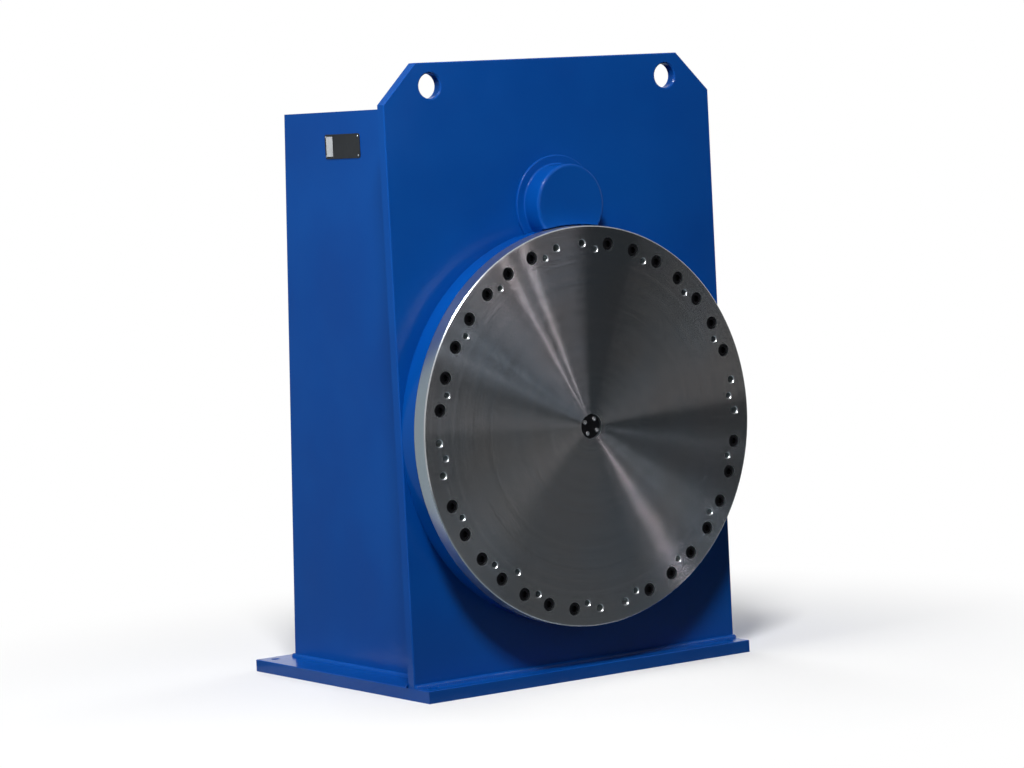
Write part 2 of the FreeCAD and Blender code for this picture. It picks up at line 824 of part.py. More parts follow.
def roller(radius, length, lean, angle):
    shape = Part.makeCylinder(radius, length, V(0, 0, -length / 2))
    shape.rotate(V(0, 0, 0), V(1, 0, 0), 90)
    shape.rotate(V(0, 0, 0), V(0, 0, 1), lean)
    shape.translate(V(roller_radius, y_race, 0))
    shape.rotate(V(0, 0, 0), V(0, -1, 0), angle)
    shape.translate(V(0, 0, axis_height))
    return shape


def rollers():
    radius = roller_dia / 2 - fit_clear
    length = roller_dia - 2 * roller_end_clear
    return group([roller(radius, length, lean, angle) for lean, angle in roller_axes()])


def roller_cage():
    """Thin band between the rings with a window for each roller."""
    half_height = channel_half + cage_rim
    band = tube(roller_radius - cage_thick / 2, roller_radius + cage_thick / 2,
                y_race - half_height, y_race + half_height, axis_height)
    radius = roller_dia / 2 + seat_clear
    length = roller_dia + seat_clear
    return band.cut(group([roller(radius, length, lean, angle) for lean, angle in roller_axes()]))


def blind_hole(x, z, dia, depth):
    """Cutter for a tapped hole in the faceplate's front, with a lead-in chamfer."""
    radius = dia / 2
    corners = [(0, y_face), (radius + hole_chamfer, y_face), (radius, y_face + hole_chamfer),
               (radius, y_face + depth), (0, y_face + depth)]
    return turned(corners, x, z)


def seat_tap(x, z, dia, reach):
    """Cutter for a tapped hole in the faceplate's back."""
    return rod(dia / 2 + hole_clear, y_seat - reach - tap_spare, y_seat, x, z)


def faceplate():
    radius = faceplate_dia / 2
    corners = [(0, y_face), (radius - faceplate_chamfer, y_face), (radius, y_face + faceplate_chamfer),
               (radius, y_seat - faceplate_chamfer), (radius - faceplate_chamfer, y_seat), (0, y_seat)]
    plate = turned(corners, 0, axis_height)
    cuts = []
    for x, z in on_circle(screw_radius, screw_angles(False), axis_height):
        floor = y_face + counterbore_depth
        corners = [(0, y_face), (counterbore_dia / 2, y_face), (counterbore_dia / 2, floor),
                   (plate_hole, floor), (plate_hole, y_seat), (0, y_seat)]
        cuts.append(turned(corners, x, z))
    for x, z in on_circle(screw_radius, screw_angles(True), axis_height):
        cuts.append(blind_hole(x, z, jack_hole_dia, faceplate_thick))
    half_step = 180.0 / screw_positions
    for x, z in on_circle(screw_radius - fixture_inset, spread(fixture_count, half_step), axis_height):
        cuts.append(blind_hole(x, z, fixture_hole_dia, fixture_depth))
    x, z = on_circle(screw_radius - locating_inset, [locating_angle], axis_height)[0]
    cuts.append(blind_hole(x, z, fixture_hole_dia, fixture_depth))
    cuts.append(rod(pilot_dia / 2, y_face, y_face + pilot_depth, 0, axis_height))
    for x, z in centre_screw_places():
        depth = pilot_depth + centre_screw_reach + tap_spare
        cuts.append(rod(centre_screw_dia / 2 + hole_clear, y_face, y_face + depth, x, z))
    cuts += [seat_tap(x, z, ground_screw_dia, ground_screw_reach) for x, z in ground_screw_places()]
    cuts += [seat_tap(x, z, dog_screw_dia, dog_screw_reach) for x, z in dog_screw_places()]
    return plate.cut(group(cuts))


def faceplate_screws():
    seat = y_face + counterbore_depth
    reach = y_seat + plate_screw_reach - seat
    return group([cap_screw(x, z, seat, 1, plate_screw_head_dia, plate_screw_head, plate_screw_dia, reach,
                            plate_screw_socket, plate_screw_socket_depth)
                  for x, z in on_circle(screw_radius, screw_angles(False), axis_height)])


def centre_screw_places():
    return on_circle(centre_screw_radius, spread(centre_screw_count, centre_screw_angle), axis_height)


def centre_cap():
    """Dark cap sunk in the faceplate's centring recess."""
    floor = y_face + pilot_depth
    front = floor - centre_cap_thick
    radius = pilot_dia / 2 - hole_clear
    corners = [(0, front), (radius - centre_cap_chamfer, front), (radius, front + centre_cap_chamfer),
               (radius, floor), (0, floor)]
    cap = turned(corners, 0, axis_height)
    hole = centre_screw_dia / 2 + hole_clear
    return cap.cut(group([rod(hole, front, floor, x, z) for x, z in centre_screw_places()]))


def centre_cap_screws():
    front = y_face + pilot_depth - centre_cap_thick
    reach = centre_cap_thick + centre_screw_reach
    return group([cap_screw(x, z, front, 1, centre_screw_head_dia, centre_screw_head, centre_screw_dia,
                            reach, centre_screw_socket, centre_screw_socket_depth)
                  for x, z in centre_screw_places()])


def ground_screw_places():
    return on_circle(ground_inner + ground_screw_inset, spread(ground_screw_count), axis_height)


def ground_ring():
    """Copper ring on the back of the faceplate that the brushes run on."""
    ring = tube(ground_inner, ground_outer, y_seat, y_track, axis_height)
    for x, z in ground_screw_places():
        ring = ring.cut(flat_screw(x, z, y_track, -1, ground_screw_head_dia + 2 * hole_clear,
                                   ground_screw_head, ground_screw_dia + 2 * hole_clear, ground_ring_thick))
    return ring


def ground_ring_screws():
    reach = ground_ring_thick + ground_screw_reach
    return group([flat_screw(x, z, y_track, -1, ground_screw_head_dia, ground_screw_head, ground_screw_dia,
                             reach) for x, z in ground_screw_places()])


def dog_screw_places():
    angle = math.degrees(dog_screw_pitch / sensor_radius) / 2
    return on_circle(sensor_radius, [sensor_angle - angle, sensor_angle + angle], axis_height)


def home_dog():
    """Steel block that passes the sensor once a turn."""
    dog = slab_y(block(dog_width, dog_length, dog_corner, sensor_radius, 0), y_seat, y_seat + dog_thick)
    dog.rotate(V(0, 0, 0), V(0, -1, 0), sensor_angle)
    dog.translate(V(0, 0, axis_height))
    for x, z in dog_screw_places():
        dog = dog.cut(rod(dog_screw_dia / 2 + hole_clear, y_seat, y_seat + dog_thick, x, z))
        bore = dog_screw_head_dia / 2 + hole_clear
        dog = dog.cut(rod(bore, y_seat + dog_thick - dog_counterbore, y_seat + dog_thick, x, z))
    return dog


def home_dog_screws():
    seat = y_seat + dog_thick - dog_counterbore
    reach = dog_thick - dog_counterbore + dog_screw_reach
    return group([cap_screw(x, z, seat, -1, dog_screw_head_dia, dog_screw_head, dog_screw_dia, reach)
                  for x, z in dog_screw_places()])


def home_sensor():
    x, z = sensor_place()
    front = y_seat + dog_thick + sensor_air
    rear = front + sensor_length
    barrel = rod(sensor_dia / 2, front, rear, x, z)
    tail = rod(sensor_tail_dia / 2, rear, rear + sensor_tail, x, z)
    return barrel.fuse(tail).removeSplitter()


def sensor_nuts():
    x, z = sensor_place()
    nuts = []
    for low in (y_plate - sensor_nut, y_back):
        nut = slab_y(hexagon(sensor_nut_flats, x, z), low, low + sensor_nut)
        nuts.append(nut.cut(rod(sensor_dia / 2 + fit_clear, low, low + sensor_nut, x, z)))
    return group(nuts)


def brush_holder(z):
    """Insulated box through the front plate that guides one brush."""
    y_nose = y_track + holder_nose_gap
    outer_x = brush_width + 2 * holder_wall - 2 * hole_clear
    outer_z = brush_height + 2 * holder_wall - 2 * hole_clear
    body = slab_y(block(outer_x, outer_z, 0, 0, z), y_nose, y_holder_end)
    flange = slab_y(block(outer_x + 2 * holder_flange, outer_z, holder_corner, 0, z), y_back,
                    y_back + holder_flange_thick)
    holder = body.fuse(flange).removeSplitter()
    channel = block(brush_width + 2 * seat_clear, brush_height + 2 * seat_clear, 0, 0, z)
    holder = holder.cut(slab_y(channel, y_nose, y_holder_end))
    for x, z_screw in holder_screw_places(z):
        hole = rod(holder_screw_dia / 2 + hole_clear, y_back, y_back + holder_flange_thick, x, z_screw)
        holder = holder.cut(hole)
    return holder


def brush_cap(z):
    """Screwed-on end of the brush holder, with the pocket that seats the brush spring."""
    outer_x = brush_width + 2 * holder_wall
    outer_z = brush_height + 2 * holder_wall
    rear = y_holder_end + holder_cap_thick
    cap = slab_y(block(outer_x, outer_z, holder_corner, 0, z), y_holder_end, rear)
    return cap.cut(rod(spring_seat_dia / 2, y_holder_end, y_holder_end + spring_seat_depth, 0, z))


def ground_brush(z):
    """Copper-graphite brush, with a chamfered back end under its spring."""
    brush = slab_y(block(brush_width, brush_height, 0, 0, z), y_brush, y_brush + brush_length)
    back = [e for e in brush.Edges if e.BoundBox.YMin > y_brush + brush_length - brush_chamfer]
    return brush.makeChamfer(brush_chamfer, back)


def brush_holder_screws():
    seat = y_back + holder_flange_thick
    reach = holder_flange_thick + holder_screw_reach
    places = [place for z in brush_places().values() for place in holder_screw_places(z)]
    return group([hex_screw(x, z, seat, -1, holder_screw_flats, holder_screw_head, holder_screw_dia, reach)
                  for x, z in places])


def pinion_gear():
    half_tooth = 180.0 / pinion_teeth
    gear = slab_y(gear_outline(pinion_teeth, 3, 270.0 + half_tooth, z_pinion), y_pinion_front, y_pinion_back)
    gear = gear.cut(rod(shaft_radius + fit_clear, y_pinion_front, y_pinion_back, 0, z_pinion))
    return gear.cut(key_slot(hole_clear))


def key_slot(clear):
    """The key's own block, grown by clear where it is used as a cutter."""
    low = z_pinion + shaft_radius - key_sunk
    size = block(key_width + 2 * clear, key_height + 2 * clear, 0, 0, low + key_height / 2)
    return slab_y(size, y_pinion_front + key_end_gap - clear, y_pinion_back - key_end_gap + clear)


def pinion_key():
    return key_slot(0.0)


def pinion_shaft():
    """Gearbox output shaft with the collar that the pinion seats on."""
    tail = y_back + shaft_end_depth
    corners = [(0, y_pinion_front), (shaft_radius, y_pinion_front), (shaft_radius, y_pinion_back),
               (collar_radius, y_pinion_back), (collar_radius, tail), (0, tail)]
    shaft = turned(corners, 0, z_pinion).cut(key_slot(hole_clear))
    bolt_hole = rod(retainer_bolt_dia / 2 + hole_clear, y_pinion_front,
                    y_pinion_front + retainer_bolt_reach + tap_spare, 0, z_pinion)
    return shaft.cut(bolt_hole)


def pinion_retainer():
    bore = retainer_bolt_dia / 2 + hole_clear
    front = y_pinion_front - retainer_thick
    return tube(bore, shaft_radius + retainer_overlap, front, y_pinion_front, z_pinion)


def retainer_bolt():
    seat = y_pinion_front - retainer_thick
    reach = retainer_thick + retainer_bolt_reach
    return hex_screw(0, z_pinion, seat, 1, retainer_bolt_flats, retainer_bolt_head, retainer_bolt_dia, reach)


def shaft_seal():
    front = y_plate + spigot_setback
    return tube(collar_radius + seat_clear, collar_radius + seal_ring_width - fit_clear, front,
                front + seal_ring_length, z_pinion)


def gearbox_housing():
    """Planetary gearbox: spigot in the front plate, screw flange, two stepped stages and a neck."""
    front = y_plate + spigot_setback
    y_groove = y_stage + gearbox_stage_length
    y_second = y_groove + gearbox_groove
    stage_two = gearbox_body - gearbox_stage_step
    waist = stage_two - gearbox_groove_depth
    neck = stage_two - gearbox_stage_step
    corners = [(0, front), (spigot_radius, front), (spigot_radius, y_back), (gearbox_flange, y_back),
               (gearbox_flange, y_stage, gearbox_flange_radius), (gearbox_body, y_stage),
               (gearbox_body, y_groove), (waist, y_groove), (waist, y_second), (stage_two, y_second),
               (stage_two, y_neck, gearbox_stage_radius), (neck, y_neck), (neck, y_adapter), (0, y_adapter)]
    housing = turned(corners, 0, z_pinion)
    tail = y_back + shaft_end_depth + seat_clear
    cuts = [rod(collar_radius + fit_clear, front, tail, 0, z_pinion),
            rod(collar_radius + seal_ring_width, front, front + seal_ring_length, 0, z_pinion)]
    for x, z in gearbox_screw_places():
        cuts.append(rod(gearbox_screw_dia / 2 + hole_clear, y_back, y_stage, x, z))
    return housing.cut(group(cuts))


def gearbox_screws():
    reach = gearbox_flange_thick + gearbox_screw_reach
    return group([hex_screw(x, z, y_stage, -1, gearbox_screw_flats, gearbox_screw_head, gearbox_screw_dia,
                            reach) for x, z in gearbox_screw_places()])


def motor_screw_places():
    step = (motor_side + motor_flange_lip) / 2
    return [(sx * step, z_pinion + sz * step) for sx in (-1, 1) for sz in (-1, 1)]


def motor_adapter():
    adapter = slab_y(block(adapter_side, adapter_side, adapter_corner, 0, z_pinion), y_adapter, y_motor)
    hole = motor_screw_dia / 2 + hole_clear
    return adapter.cut(group([rod(hole, y_adapter, y_motor, x, z) for x, z in motor_screw_places()]))


def motor_screws():
    seat = y_motor + motor_end_thick
    reach = motor_end_thick + motor_screw_reach
    return group([hex_screw(x, z, seat, -1, motor_screw_flats, motor_screw_head, motor_screw_dia, reach)
                  for x, z in motor_screw_places()])


def servo_motor():
    """Finned square body between two end plates."""
    body = slab_y(block(motor_side, motor_side, motor_corner, 0, z_pinion), y_motor, y_motor_end)
    low = y_motor + motor_fin_front
    high = y_motor_end - motor_fin_rear
    cuts = []
    for place in [motor_fin_pitch * (k - (motor_fin_count - 1) / 2) for k in range(motor_fin_count)]:
        for side in (-1, 1):
            x = side * (motor_side - motor_fin_depth) / 2
            cuts.append(slab_y(block(motor_fin_depth, motor_fin_gap, 0, x, z_pinion + place), low, high))
            cuts.append(slab_y(block(motor_fin_gap, motor_fin_depth, 0, place, z_pinion + x), low, high))
    body = body.cut(group(cuts))
    rear = y_motor + motor_end_thick
    flange = slab_y(block(adapter_side, adapter_side, adapter_corner, 0, z_pinion), y_motor, rear)
    hole = motor_screw_dia / 2 + hole_clear
    holes = [rod(hole, y_motor, rear, x, z) for x, z in motor_screw_places()]
    return body.fuse(flange).removeSplitter().cut(group(holes))


def encoder_cover():
    return slab_y(block(encoder_side, encoder_side, encoder_corner, 0, z_pinion), y_motor_end,
                  y_motor_end + encoder_length)


def motor_connectors():
    """Power and feedback sockets on top of the motor's rear end plate."""
    sockets = []
    low = z_pinion + motor_side / 2
    radius = connector_dia / 2
    for side in (-1, 1):
        foot = V(side * connector_spread, y_motor_end - connector_setback, low)
        step = foot + V(0, 0, connector_height - connector_bore)
        barrel = Part.makeCylinder(radius, connector_height, foot)
        collar = Part.makeCylinder(radius + connector_collar, connector_collar_height, step)
        bore = Part.makeCylinder(radius - connector_wall, connector_bore, step)
        sockets.append(barrel.fuse(collar).removeSplitter().cut(bore))
    return group(sockets)


def cable_glands():
    """Cable inlets in the rear sill, with nothing led through them."""
    glands = []
    radius = gland_dome_dia / 2
    inner_end = -wall - gland_nut
    outer_end = gland_nut + gland_dome
    for x, z in outlet_places()[0]:
        body = slab_y(hexagon(gland_flats), seat_clear, gland_nut)
        dome = turned([(0, gland_nut), (radius, gland_nut), (radius, outer_end, gland_dome_radius),
                       (0, outer_end)])
        neck = rod(gland_dia / 2, inner_end, gland_nut)
        nut = slab_y(hexagon(gland_flats), inner_end, -wall)
        gland = body.fuse([dome, neck, nut]).removeSplitter()
        gland = gland.cut(rod(gland_bore_dia / 2, inner_end, outer_end))
        glands.append(turned_to_slope(gland, x, z))
    return group(glands)


def work_return_terminal():
    """Copper stud on the rear sill for the welding return lead."""
    x, z = outlet_places()[1]
    pad = rod(terminal_pad / 2, seat_clear, terminal_pad_thick)
    stud = rod(terminal_dia / 2, -wall - terminal_nut, terminal_length)
    outer = slab_y(hexagon(terminal_flats), terminal_pad_thick, terminal_pad_thick + terminal_nut)
    inner = slab_y(hexagon(terminal_flats), -wall - terminal_nut, -wall)
    return turned_to_slope(pad.fuse([stud, outer, inner]).removeSplitter(), x, z)


def save(name, shape):
    shape.exportStep("parts/%s.step" % name)


def main():
    os.makedirs("parts", exist_ok=True)
    cabinet = (base_plate, front_plate, top_plate, rear_sill, rear_cover, rear_cover_screws,
               gear_guard, pinion_cap, pinion_cap_screws, cable_glands, work_return_terminal)
    bearing = (bearing_inner_ring, bearing_screws, grease_nipples, gear_ring, rollers, roller_cage)
    table = (faceplate, faceplate_screws, centre_cap, centre_cap_screws, ground_ring, ground_ring_screws,
             home_dog, home_dog_screws)
    drive = (pinion_gear, pinion_key, pinion_shaft, pinion_retainer, retainer_bolt, shaft_seal,
             gearbox_housing, gearbox_screws, motor_adapter, motor_screws, servo_motor, encoder_cover,
             motor_connectors)
    pickups = (home_sensor, sensor_nuts, brush_holder_screws)
    for maker in cabinet + bearing + table + drive + pickups:
        save(maker.__name__, maker())
    for name, side in (("left", -1), ("right", 1)):
        save("side_plate_" + name, side_plate(side))
        save("stiffener_rib_" + name, stiffener_rib(side))
    for name, z in brush_places().items():
        save("brush_holder_" + name, brush_holder(z))
        save("brush_cap_" + name, brush_cap(z))
        save("ground_brush_" + name, ground_brush(z))
    front = y_seat + ring_clear
    rear = y_plate - ring_clear
    save("bearing_seal_front", bearing_seal(front, front + seal_height, -1))
    save("bearing_seal_rear", bearing_seal(rear - seal_height, rear, 1))


main()
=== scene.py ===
import json
import math

import bpy
from mathutils import Matrix, Quaternion, Vector


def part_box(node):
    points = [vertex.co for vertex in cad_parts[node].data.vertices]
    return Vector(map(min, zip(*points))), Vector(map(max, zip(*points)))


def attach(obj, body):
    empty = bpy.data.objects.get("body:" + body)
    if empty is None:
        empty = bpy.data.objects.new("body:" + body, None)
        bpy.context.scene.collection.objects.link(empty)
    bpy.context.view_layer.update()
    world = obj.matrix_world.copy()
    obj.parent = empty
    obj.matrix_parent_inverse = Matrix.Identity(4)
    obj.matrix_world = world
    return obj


# Looks of a welding headstock: gloss blue plates with painted-over welds round a turned steel
# faceplate. Everything is in metres, +Z up, with the faceplate facing -Y.

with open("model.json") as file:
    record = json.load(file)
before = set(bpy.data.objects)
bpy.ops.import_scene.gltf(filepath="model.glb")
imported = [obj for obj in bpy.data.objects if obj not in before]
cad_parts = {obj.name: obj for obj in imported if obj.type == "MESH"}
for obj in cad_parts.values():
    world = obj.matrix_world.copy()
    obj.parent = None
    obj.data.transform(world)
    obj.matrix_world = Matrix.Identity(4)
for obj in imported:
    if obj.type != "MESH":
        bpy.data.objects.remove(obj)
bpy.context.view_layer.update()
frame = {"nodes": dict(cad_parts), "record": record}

plate_low, plate_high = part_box("front_plate")
base_low, base_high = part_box("base_plate")
side_low, side_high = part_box("side_plate_left")
roof_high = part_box("top_plate")[1]
sill_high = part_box("rear_sill")[1]
face_low, face_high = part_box("faceplate")
AXIS = Vector((0, 0, (face_low.z + face_high.z) / 2))
FACE_CENTRE = AXIS + Vector((0, face_low.y, 0))

# Camera: the photo's viewing angle in degrees, aimed straight at the headstock
VIEW_AZIMUTH = -34.86
VIEW_ELEVATION = 4.32
VIEW_ROLL = -2.95
VIEW_DISTANCE = 10.75
VIEW_AIM = Vector((-0.1987, plate_low.y, 0.918))
LENS = 124.5
CLIP_END = 200.0

# In the finishes a colour is a screen colour of 0 to 255, a noise is its scale per metre, its
# detail and perhaps its roughness, a span is where its effect sets in and ends and perhaps the
# least and greatest effect, and a depth is in metres.

# Blue enamel
ENAMEL_BLUE = (4, 71, 150)
ENAMEL_DEEP = (3, 64, 141)
ENAMEL_ROUGHNESS = 0.15
ENAMEL_SPECULAR = 0.12
COVER_NOISE = (2.2, 3.0)
COVER_SPAN = (0.3, 0.7)
PEEL_NOISE = (320.0, 1.0)
PEEL_DEPTH = 0.00012
WAVE_NOISE = (3.5, 1.0)
WAVE_DEPTH = 0.004
DUST_NOISE = (9.0, 5.0, 0.65)
DUST_ROUGHNESS = 0.1

# Turned steel: leans are slopes of the lathe rings' flanks, outwards from the axis
STEEL_GREY = (133, 132, 134)
STEEL_WARM = (136, 132, 132)
STEEL_COOL = (130, 132, 137)
# Paler rim colour: a painted sheen that stands in for the brighter reflection on the rim
STEEL_RIM_SHEEN = (205, 210, 214)
RIM_ROUGHNESS = 0.34
FACE_POLISH = 0.24
FACE_SPAN = (0.5, 0.9)
ALONG_AXIS = (0.0, 1.0, 0.0)
ACROSS_FACE = (1.0, 0.0, 1.0)
RING_NOISE = (14000.0, 1.0)
RING_SPREAD = 1.1
FLANK_SPAN = (0.05, 0.07, -0.06, 0.24)
STEEPEST_FLANK = 0.53
BAND_NOISE = (60.0, 2.0)
BAND_SPAN = (0.3, 0.7, 0.0, 0.5)
BAND_ROUGHNESS = 0.03
TINT_NOISE = (3.0, 2.0)
TINT_SPAN = (0.35, 0.65)

# Worked metals: colour, roughness, and the share of light that stains take
METALS = {
    "black_oxide": ((30, 30, 32), 0.42, 0.25),
    "bright_steel": ((196, 196, 198), 0.24, 0.25),
    "gear_steel": ((142, 138, 132), 0.34, 0.45),
    "zinc_steel": ((205, 207, 210), 0.3, 0.25),
    "bronze": ((190, 152, 86), 0.34, 0.25),
    "copper": ((198, 122, 84), 0.3, 0.4),
    "adapter_aluminium": ((205, 205, 206), 0.33, 0.25),
    "connector_metal": ((208, 206, 200), 0.22, 0.25),
}
STAIN_NOISE = (24.0, 4.0, 0.6)
STAIN_SPAN = (0.35, 0.7)
STAIN_ROUGHNESS = 0.18
STAIN_MEAN = 0.4
GRAIN_NOISE = (900.0, 2.0)
GRAIN_STRETCH = (1.0, 0.12, 1.0)
GRAIN_DEPTH = 0.00006

# Moulded rubber, plastic and graphite: colour and roughness
MOULDINGS = {
    "graphite": ((42, 40, 38), 0.6),
    "seal_rubber": ((22, 22, 23), 0.62),
    "insulator": ((146, 98, 54), 0.5),
    "gland_black": ((24, 24, 25), 0.48),
}
WORN_GAIN = 1.6
WORN_LIFT = 0.01
CLOUD_NOISE = (14.0, 3.0)
CLOUD_SPAN = (0.4, 0.8, 0.0, 0.6)
CLOUD_ROUGHNESS = 0.2
TEXTURE_NOISE = (700.0, 2.0)
TEXTURE_DEPTH = 0.00012

# Satin machine paints: colour and roughness
PAINTS = {
    "gearbox_grey": ((190, 194, 197), 0.42),
    "motor_black": ((28, 28, 30), 0.45),
}
DEEP_PAINT = 0.75
CAST_NOISE = (30.0, 4.0)
CAST_SPAN = (0.3, 0.7)
CAST_DEPTH = 0.0006
SKIN_NOISE = (420.0, 3.0)
SKIN_DEPTH = 0.0001
SKIN_ROUGHNESS = 0.12
NOISE_MEAN = 0.5


def linear(colour):
    """Screen colour of 0 to 255 as the four numbers of a colour socket."""
    share = [c / 255 for c in colour]
    return [c / 12.92 if c <= 0.04045 else ((c + 0.055) / 1.055) ** 2.4 for c in share] + [1.0]


def toned(colour, factor, lift=0.0):
    """Screen colour made darker or paler, as the four numbers of a colour socket."""
    return [min(1.0, factor * c + lift) for c in linear(colour)[:3]] + [1.0]


class Value:
    """A socket in a finish: sums and products of values add the nodes that work them out."""

    def __init__(self, finish, socket):
        self.finish = finish
        self.socket = socket

    def __add__(self, other):
        return self.finish.math("ADD", self, other)

    def __radd__(self, other):
        return self.finish.math("ADD", other, self)

    def __sub__(self, other):
        return self.finish.math("SUBTRACT", self, other)

    def __rsub__(self, other):
        return self.finish.math("SUBTRACT", other, self)

    def __mul__(self, other):
        return self.finish.math("MULTIPLY", self, other)

    def __rmul__(self, other):
        return self.finish.math("MULTIPLY", other, self)

    def __abs__(self):
        return self.finish.math("ABSOLUTE", self)


class Finish:
    """A material or a world, and the nodes that are added to it."""

    def __init__(self, owner):
        self.owner = owner
        owner.use_nodes = True
        self.tree = owner.node_tree
        self.tree.nodes.clear()

    def add(self, kind, settings, sockets, out=0):
        """One node: its settings first, then the values or links of its sockets."""
        node = self.tree.nodes.new(kind)
        for name, setting in settings.items():
            setattr(node, name, setting)
        for name, given in sockets.items():
            if isinstance(given, Value):
                self.tree.links.new(given.socket, node.inputs[name])
            else:
                node.inputs[name].default_value = given
        return Value(self, node.outputs[out]) if len(node.outputs) else node

    def math(self, operation, *given):
        return self.add("ShaderNodeMath", {"operation": operation}, dict(enumerate(given)))

    def vector(self, operation, *given, out=0):
        return self.add("ShaderNodeVectorMath", {"operation": operation}, dict(enumerate(given)),
                        out)

    def scaled(self, direction, amount):
        return self.add("ShaderNodeVectorMath", {"operation": "SCALE"},
                        {0: direction, "Scale": amount})

    def place(self, centre=(0, 0, 0), stretch=(1, 1, 1)):
        """Object coordinates about a centre, stretched along each axis."""
        here = self.add("ShaderNodeTexCoord", {}, {}, "Object")
        shift = [-c * s for c, s in zip(centre, stretch)]
        return self.add("ShaderNodeMapping", {},
                        {"Vector": here, "Location": shift, "Scale": stretch})

    def noise(self, where, scale, detail, roughness=0.5):
        return self.add("ShaderNodeTexNoise", {},
                        {"Vector": where, "Scale": scale, "Detail": detail,
                         "Roughness": roughness})

    def noise_along(self, along, scale, detail):
        """Noise that changes along one value only, such as a radius."""
        return self.add("ShaderNodeTexNoise", {"noise_dimensions": "1D"},
                        {"W": along, "Scale": scale, "Detail": detail})

    def between(self, value, low, high, to_low=0.0, to_high=1.0):
        """A value's smooth rise from to_low to to_high as it goes from low to high."""
        return self.add("ShaderNodeMapRange", {"interpolation_type": "SMOOTHSTEP"},
                        {"Value": value, "From Min": low, "From Max": high, "To Min": to_low,
                         "To Max": to_high})

    def mix(self, share, first, second):
        """A colour between two colours."""
        return self.add("ShaderNodeMix", {"data_type": "RGBA"}, {0: share, 6: first, 7: second}, 2)

    def bump(self, height, distance, normal=None):
        sockets = {"Height": height, "Distance": distance, "Strength": 1.0}
        if normal is not None:
            sockets["Normal"] = normal
        return self.add("ShaderNodeBump", {}, sockets)

    def done(self, **sockets):
        """Ends the finish in one surface shader, whose sockets have underscores for spaces."""
        named = {name.replace("_", " "): given for name, given in sockets.items()}
        shader = self.add("ShaderNodeBsdfPrincipled", {}, named)
        self.add("ShaderNodeOutputMaterial", {}, {"Surface": shader})
        return self.owner


def new_finish(name):
    """A new material, with no nodes yet."""
    return Finish(bpy.data.materials.new(name))


def blue_enamel():
    """Sprayed gloss enamel: orange peel, uneven cover and faint waves of the plate under it."""
    f = new_finish("blue_enamel")
    here = f.place()
    cover = f.noise(here, *COVER_NOISE)
    peel = f.noise(here, *PEEL_NOISE)
    waves = f.noise(here, *WAVE_NOISE)
    dust = f.noise(here, *DUST_NOISE)
    colour = f.mix(f.between(cover, *COVER_SPAN), linear(ENAMEL_DEEP), linear(ENAMEL_BLUE))
    relief = f.bump(waves, WAVE_DEPTH, f.bump(peel, PEEL_DEPTH))
    rough = ENAMEL_ROUGHNESS + DUST_ROUGHNESS * dust
    return f.done(Base_Color=colour, Roughness=rough, Specular_IOR_Level=ENAMEL_SPECULAR,
                  Normal=relief)


def turned_steel():
    """Faced steel: lathe rings of shallow inner and steep outer flanks, which spread each light
    into a streak across them, and a rim in a paler colour that is a painted sheen."""
    f = new_finish("turned_steel")
    flat = f.vector("MULTIPLY", f.place(AXIS), ACROSS_FACE)
    radius = f.vector("LENGTH", flat, out=1)
    outward = f.add("ShaderNodeVectorTransform",
                    {"vector_type": "VECTOR", "convert_from": "OBJECT", "convert_to": "WORLD"},
                    {"Vector": f.vector("NORMALIZE", flat)})
    normal = f.add("ShaderNodeNewGeometry", {}, {}, "Normal")
    facing = f.between(abs(f.vector("DOT_PRODUCT", normal, ALONG_AXIS, out=1)), *FACE_SPAN)
    rings = f.noise_along(radius, *RING_NOISE) - NOISE_MEAN
    leans = RING_SPREAD * rings + f.between(rings, *FLANK_SPAN)
    flanks = f.math("MINIMUM", leans, STEEPEST_FLANK)
    tilt = f.scaled(outward, flanks * facing)
    turned = f.vector("NORMALIZE", f.vector("ADD", normal, tilt))
    bands = f.noise_along(radius, *BAND_NOISE)
    tint = f.noise(f.place(AXIS, ACROSS_FACE), *TINT_NOISE)
    colour = f.mix(f.between(tint, *TINT_SPAN), linear(STEEL_COOL), linear(STEEL_WARM))
    colour = f.mix(f.between(bands, *BAND_SPAN), colour, linear(STEEL_GREY))
    # Painted sheen: away from the face, on the rim, the colour turns to the paler rim colour
    colour = f.mix(facing, linear(STEEL_RIM_SHEEN), colour)
    rough = RIM_ROUGHNESS - FACE_POLISH * facing + BAND_ROUGHNESS * bands
    return f.done(Base_Color=colour, Metallic=1.0, Roughness=rough, Normal=turned)


def worked_metal(name, colour, roughness, stain):
    """Machined, plated or blackened metal with a fine grain and slightly stained patches."""
    f = new_finish(name)
    patches = f.noise(f.place(), *STAIN_NOISE)
    grain = f.noise(f.place(stretch=GRAIN_STRETCH), *GRAIN_NOISE)
    dull = toned(colour, 1.0 - stain)
    shade = f.mix(f.between(patches, *STAIN_SPAN), linear(colour), dull)
    rough = roughness + STAIN_ROUGHNESS * (patches - STAIN_MEAN)
    return f.done(Base_Color=shade, Metallic=1.0, Roughness=rough,
                  Normal=f.bump(grain, GRAIN_DEPTH))


def moulded(name, colour, roughness):
    """Moulded rubber, plastic or pressed graphite with a fine matt grain."""
    f = new_finish(name)
    here = f.place()
    clouds = f.noise(here, *CLOUD_NOISE)
    texture = f.noise(here, *TEXTURE_NOISE)
    worn = toned(colour, WORN_GAIN, WORN_LIFT)
    shade = f.mix(f.between(clouds, *CLOUD_SPAN), linear(colour), worn)
    rough = roughness + CLOUD_ROUGHNESS * (clouds - NOISE_MEAN)
    return f.done(Base_Color=shade, Roughness=rough, Normal=f.bump(texture, TEXTURE_DEPTH))


